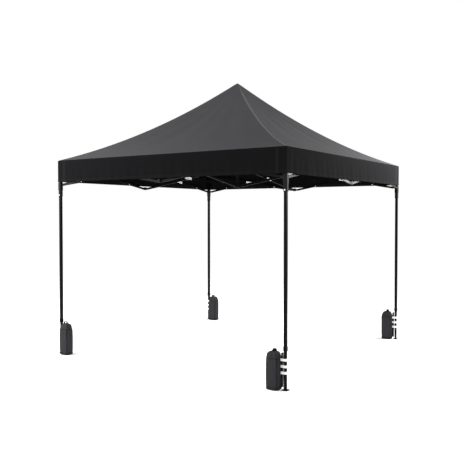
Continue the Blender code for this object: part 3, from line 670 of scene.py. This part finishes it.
def flat_band(line, across, width, thickness, closed=False):
    """Webbing along a line: a flat section with slightly rounded edges, carried along it. across is the width's
    direction, and the thickness lies square to the line and to across."""
    ahead = np.roll(line, -1, axis=0) - np.roll(line, 1, axis=0)
    if not closed:
        ahead[0], ahead[-1] = line[1] - line[0], line[-1] - line[-2]
    ahead /= np.linalg.norm(ahead, axis=1, keepdims=True)
    proud = np.cross(ahead, across)
    proud /= np.linalg.norm(proud, axis=1, keepdims=True)
    half_section = [(-0.5, -0.25), (-0.47, -0.5), (0.47, -0.5), (0.5, -0.25)]
    section = np.array([*half_section, (0.5, 0.25), (0.47, 0.5), (-0.47, 0.5), (-0.5, 0.25)])
    rings = (
        line[:, None]
        + width * section[None, :, :1] * np.asarray(across, float)
        + thickness * section[None, :, 1:] * proud[:, None]
    )
    count = len(section)
    index = np.arange(len(line) * count).reshape(len(line), count)
    after = np.roll(index, -1, axis=1)
    if closed:
        onward, both = np.roll(index, -1, axis=0), np.roll(after, -1, axis=0)
        faces = np.stack([index, after, both, onward], -1).reshape(-1, 4).tolist()
    else:
        faces = np.stack([index[:-1], after[:-1], after[1:], index[1:]], -1).reshape(-1, 4).tolist()
        faces += [index[0, ::-1].tolist(), index[-1].tolist()]
    return rings.reshape(-1, 3), faces


def hang_on_foot(piece, corner):
    """What every piece of a bag has in common: the plain solid it stands for, and its inner leg."""
    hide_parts(f"weight_bag_{corner}")
    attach(piece, f"foot_{corner}")


OUTWARD_X = np.array([1.0, 0, 0])
bag_angle = np.linspace(0, 2 * math.pi, 96, endpoint=False)
bag_half_x = (BAG_FAR - BAG_NEAR) / 2
bag_middle = (BAG_NEAR + BAG_FAR) / 2
bag_z = np.concatenate(
    [
        [0.006, 0.0062, 0.008, 0.014, 0.020, 0.024, 0.026, BASE_SEAM_Z, 0.030, 0.036],
        [0.05, 0.07, 0.09, 0.11, 0.13, 0.15, 0.17, 0.19, 0.21, 0.23, 0.25, 0.265, 0.278, 0.286],
        [SHOULDER_SEAM_Z, 0.294, 0.300, 0.310, 0.320, 0.330, 0.338, 0.345, 0.350, 0.3527, BAG_TOP_Z],
    ]
)
# The outline's share of the full width, at these heights.
share_z = [0.006, 0.0062, 0.008, 0.020, SHOULDER_SEAM_Z, 0.330, 0.350, BAG_TOP_Z]
outline_share = np.interp(bag_z, share_z, [0.80, 0.93, 0.955, 0.965, 0.955, 0.82, 0.62, 0.50])[:, None]
for corner, (sx, sy) in CORNERS.items():
    seed = {"front": 0.3, "left": 1.7, "right": 2.9, "back": 4.4}[corner]
    z = bag_z[:, None]
    t = bag_angle[None, :]
    flat_x, flat_y = bag_outline(t, 1.0, 1.0, 5.0)
    # Soft creases of 1 to 2 mm: slanting ones on the sides, and gathers above the shoulder's seam.
    corner_pull = np.abs(np.sin(2 * t)) ** 2
    crease = 0.0013 * np.sin(6 * t + seed + 22 * z) * np.sin(38 * z + seed) * (1 - corner_pull)
    crease = crease + 0.0010 * np.sin(13 * t - 31 * z + 2 * seed) * smooth(z, 0.03, 0.08)
    crease = crease + 0.0020 * np.sin(8 * t + seed) * smooth(z, 0.285, 0.33) * (1 - smooth(z, 0.345, BAG_TOP_Z))
    stitch = -0.0012 * np.exp(-(((z - BASE_SEAM_Z) / 0.0022) ** 2))
    stitch = stitch - 0.0014 * np.exp(-(((z - SHOULDER_SEAM_Z) / 0.003) ** 2))
    grow = outline_share + swell(z)
    x = flat_x * bag_half_x * grow + (crease + stitch) * np.sign(np.cos(t)) * np.abs(np.cos(t)) ** 0.5
    y = flat_y * BAG_HALF_WIDTH * grow + (crease + stitch) * np.sign(np.sin(t)) * np.abs(np.sin(t)) ** 0.5
    lean = 0.002 * np.sin(3 * seed) * smooth(z, 0.1, BAG_TOP_Z)
    x = np.clip(x + lean, -bag_half_x, bag_half_x)
    y = np.clip(y, -BAG_HALF_WIDTH, BAG_HALF_WIDTH)
    top_dip = 0.004 * np.cos(t) ** 2 * smooth(z, 0.33, BAG_TOP_Z)
    grid = np.stack([x + bag_middle, y + BAG_ACROSS, z - top_dip + 0 * t], -1)
    count = len(bag_angle)
    index = np.arange(grid.shape[0] * count).reshape(-1, count)
    after = np.roll(index, -1, axis=1)
    faces = np.stack([index[:-1], after[:-1], after[1:], index[1:]], -1).reshape(-1, 4).tolist()
    # The flat base and the sewn top close on rings that shrink to a point.
    caps = []
    for row, height in ((0, 0.006), (-1, 0.351)):
        ring = grid[row]
        centre = np.array([bag_middle, BAG_ACROSS, height])
        caps.append(centre + (ring - centre) * 0.55)
        caps.append(centre[None])
    points = np.concatenate([grid.reshape(-1, 3), *caps])
    base = grid.shape[0] * count
    for start, row, turned in ((base, index[0], True), (base + count + 1, index[-1], False)):
        inner = np.arange(start, start + count)
        quads = np.stack([row, np.roll(row, -1), np.roll(inner, -1), inner], -1)
        tips = np.stack([inner, np.roll(inner, -1), np.full(count, start + count)], -1)
        faces += (quads[:, ::-1] if turned else quads).tolist()
        faces += (tips[:, ::-1] if turned else tips).tolist()
    shell = (beside_leg(points, sx, sy), faces)
    bag = outward(joined_piece(f"weight_bag_cloth_{corner}", [shell], bag_cloth, 60))
    # The weave runs round the bag by its angle times a mean radius of 70 mm, and up it by the height.
    layer = bag.data.uv_layers.new(name="cloth")
    loops = np.empty(len(bag.data.loops), np.int32)
    bag.data.loops.foreach_get("vertex_index", loops)
    place_of = np.empty(len(bag.data.vertices) * 3, np.float32)
    bag.data.vertices.foreach_get("co", place_of)
    place_of = place_of.reshape(-1, 3)
    from_middle_x = place_of[:, 0] - (sx * HALF_SPAN - sx * bag_middle)
    from_middle_y = place_of[:, 1] - (sy * HALF_SPAN + BAG_ACROSS)
    round_bag = np.arctan2(from_middle_y, from_middle_x) * 0.07
    layer.data.foreach_set("uv", np.stack([round_bag, place_of[:, 2]], -1)[loops].astype(np.float32).ravel())
    sewn = bag.data.attributes.new("sewn", "FLOAT", "POINT")
    seam_line = np.exp(-(((place_of[:, 2] - BASE_SEAM_Z) / 0.003) ** 2))
    seam_line = seam_line + np.exp(-(((place_of[:, 2] - SHOULDER_SEAM_Z) / 0.004) ** 2))
    sewn.data.foreach_set("value", np.clip(seam_line, 0, 1).astype(np.float32))
    hang_on_foot(bag, corner)

    # Piping round the base and up the four corners; the upright cords are partly real piping and partly painted shade
    # along the corners.
    ring_x, ring_y = bag_outline(bag_angle, bag_half_x * 0.968, BAG_HALF_WIDTH * 0.963, 5.0)
    path = np.stack([ring_x + bag_middle, ring_y + BAG_ACROSS, np.full(count, PIPING_Z)], -1)
    cords = [tube_round(beside_leg(path, sx, sy), 0.0022)]
    corner_z = np.linspace(PIPING_Z, SHOULDER_SEAM_Z + 0.0005, 24)
    bulge = 0.965 + swell(corner_z)
    for px in (-1, 1):
        for py in (-1, 1):
            cx = px * bag_half_x * 0.8706
            cy = py * BAG_HALF_WIDTH * 0.8706
            path = np.stack([cx * bulge + bag_middle, cy * bulge + BAG_ACROSS, corner_z], -1)
            outwards = np.array([px * -sx, py, 0.0]) / math.sqrt(2)
            cords.append(flat_band(beside_leg(path, sx, sy), outwards, 0.0042, 0.0042))
    hang_on_foot(outward(joined_piece(f"bag_piping_and_corner_shade_{corner}", cords, tape_black_and_corner_shade, 60)), corner)

    # Handle: a flat loop of webbing, 25 mm wide, sewn to the top, with its ends run down over the shoulder.
    sweep = np.linspace(0, math.pi, 15)
    handle_x = bag_middle - 0.008
    arch_y = BAG_ACROSS + 0.0205 * np.cos(sweep)
    arch = np.stack([np.full(15, handle_x), arch_y, 0.352 + 0.024 * np.sin(sweep) ** 0.6], -1)
    foot_a = np.array([[handle_x, BAG_ACROSS + 0.0205, 0.335], [handle_x, BAG_ACROSS + 0.0205, 0.345]])
    foot_b = foot_a[::-1] - [0, 0.041, 0]
    handle_line = beside_leg(np.concatenate([foot_a, arch[1:-1], foot_b]), sx, sy)
    handle = flat_band(handle_line, OUTWARD_X, 0.025, 0.0028)
    hang_on_foot(outward(joined_piece(f"bag_handle_{corner}", [handle], tape_black_and_corner_shade, 50)), corner)

    # Straps: three flat loops of white webbing from the bag round the leg.
    strap_loops = []
    for k, height in enumerate((0.158, 0.216, 0.276)):
        inside, reach, bend = 0.0128 + 0.0011, 0.0515, 0.004
        quarter = np.linspace(0, math.pi / 2, 5)
        bends = []
        for cx, cy, start in (
            (reach - bend, inside - bend, 0.0),
            (-inside + bend, inside - bend, math.pi / 2),
            (-inside + bend, -inside + bend, math.pi),
            (reach - bend, -inside + bend, 1.5 * math.pi),
        ):
            bends.append(np.stack([cx + bend * np.cos(quarter + start), cy + bend * np.sin(quarter + start)], -1))
        plan = np.concatenate(bends)
        tilt = 0.0012 * np.sin(seed + k) * plan[:, 0] / 0.05
        line = beside_leg(np.concatenate([plan, (height + tilt)[:, None]], axis=1), sx, sy)
        strap_loops.append(flat_band(line, UP, 0.0245, 0.0021, closed=True))
    hang_on_foot(outward(joined_piece(f"bag_straps_{corner}", strap_loops, strap_webbing, 50)), corner)

    # A black flap covers the straps' seams on the bag, and an upright strip of grey webbing spaces them.
    rise = np.linspace(0.030, 0.343, 20)
    flap_line = np.stack([0.0325 + 0 * rise, 0 * rise, rise - 0.006], -1)
    flap = flat_band(beside_leg(flap_line, sx, sy), OUTWARD_X, 0.026, 0.0026)
    hang_on_foot(outward(joined_piece(f"bag_flap_{corner}", [flap], tape_black_and_corner_shade, 50)), corner)
    strip_line = np.stack([0.0262 + 0.0004 * np.sin(40 * rise), 0 * rise, rise], -1)
    strip = flat_band(beside_leg(strip_line, sx, sy), OUTWARD_X, 0.013, 0.0052)
    hang_on_foot(outward(joined_piece(f"bag_webbing_{corner}", [strip], grey_webbing, 50)), corner)

# Floor, light and camera: a plain white studio floor without sheen, so that no horizon shows, under soft lamps. The
# camera looks from outside the front leg, where the photo was taken.
floor_mesh = bpy.data.meshes.new("floor")
floor_angle = np.linspace(0, 2 * math.pi, 64, endpoint=False)
floor_ring = np.stack([np.cos(floor_angle) * 70, np.sin(floor_angle) * 70, np.full(64, -0.0006)], -1)
floor_mesh.from_pydata(floor_ring, [], [list(range(64))])
floor = bpy.data.objects.new("floor", floor_mesh)
bpy.context.scene.collection.objects.link(floor)
paint, tree, shader = new_finish("studio floor, matt white paint")
shader.inputs["Base Color"].default_value = linear("#ffffff")
shader.inputs["Roughness"].default_value = 0.95
shader.inputs["Specular IOR Level"].default_value = 0.0
floor_mesh.materials.append(paint)

world = bpy.data.worlds.new("studio")
world.use_nodes = True
world.node_tree.nodes["Background"].inputs["Color"].default_value = (1.0, 1.0, 1.0, 1.0)
world.node_tree.nodes["Background"].inputs["Strength"].default_value = 1.0
bpy.context.scene.world = world
# Each lamp: its place, the point it faces, its power in watts and its size.
for name, place, target, power, size in (
    ("overhead", (-3.5, -3.0, 6.5), (0.0, 0.0, 2.2), 260.0, 4.0),
    ("left", (-3.1, -3.3, 2.9), (-1.2, -1.4, 2.1), 230.0, 1.2),
    ("right", (2.35, 1.95, 2.4), (1.48, 1.4, 2.15), 130.0, 0.6),
    ("far right", (2.6, 2.9, 3.3), (1.3, 1.3, 2.3), 105.0, 1.0),
):
    lamp = bpy.data.lights.new(name, "AREA")
    lamp.energy = power
    lamp.size = size
    lamp_object = bpy.data.objects.new(name, lamp)
    lamp_object.location = place
    aim = np.array(target) - np.array(place)
    yaw = math.atan2(aim[1], aim[0]) - math.pi / 2
    pitch = math.atan2(aim[2], math.hypot(aim[0], aim[1])) + math.pi / 2
    lamp_object.rotation_euler = (pitch, 0.0, yaw)
    lamp_object.visible_camera = False
    bpy.context.scene.collection.objects.link(lamp_object)

camera_data = bpy.data.cameras.new("camera")
camera_data.sensor_width = 36.0
camera_data.lens = 50.77
camera_data.clip_end = 300.0
camera = bpy.data.objects.new("camera", camera_data)
camera.location = (4.2951, -6.6471, 1.5923)
camera.rotation_euler = (math.radians(90 - 1.596), 0.0, math.radians(33.307))
bpy.context.scene.collection.objects.link(camera)
bpy.context.scene.camera = camera
bpy.context.scene.view_settings.view_transform = "Standard"
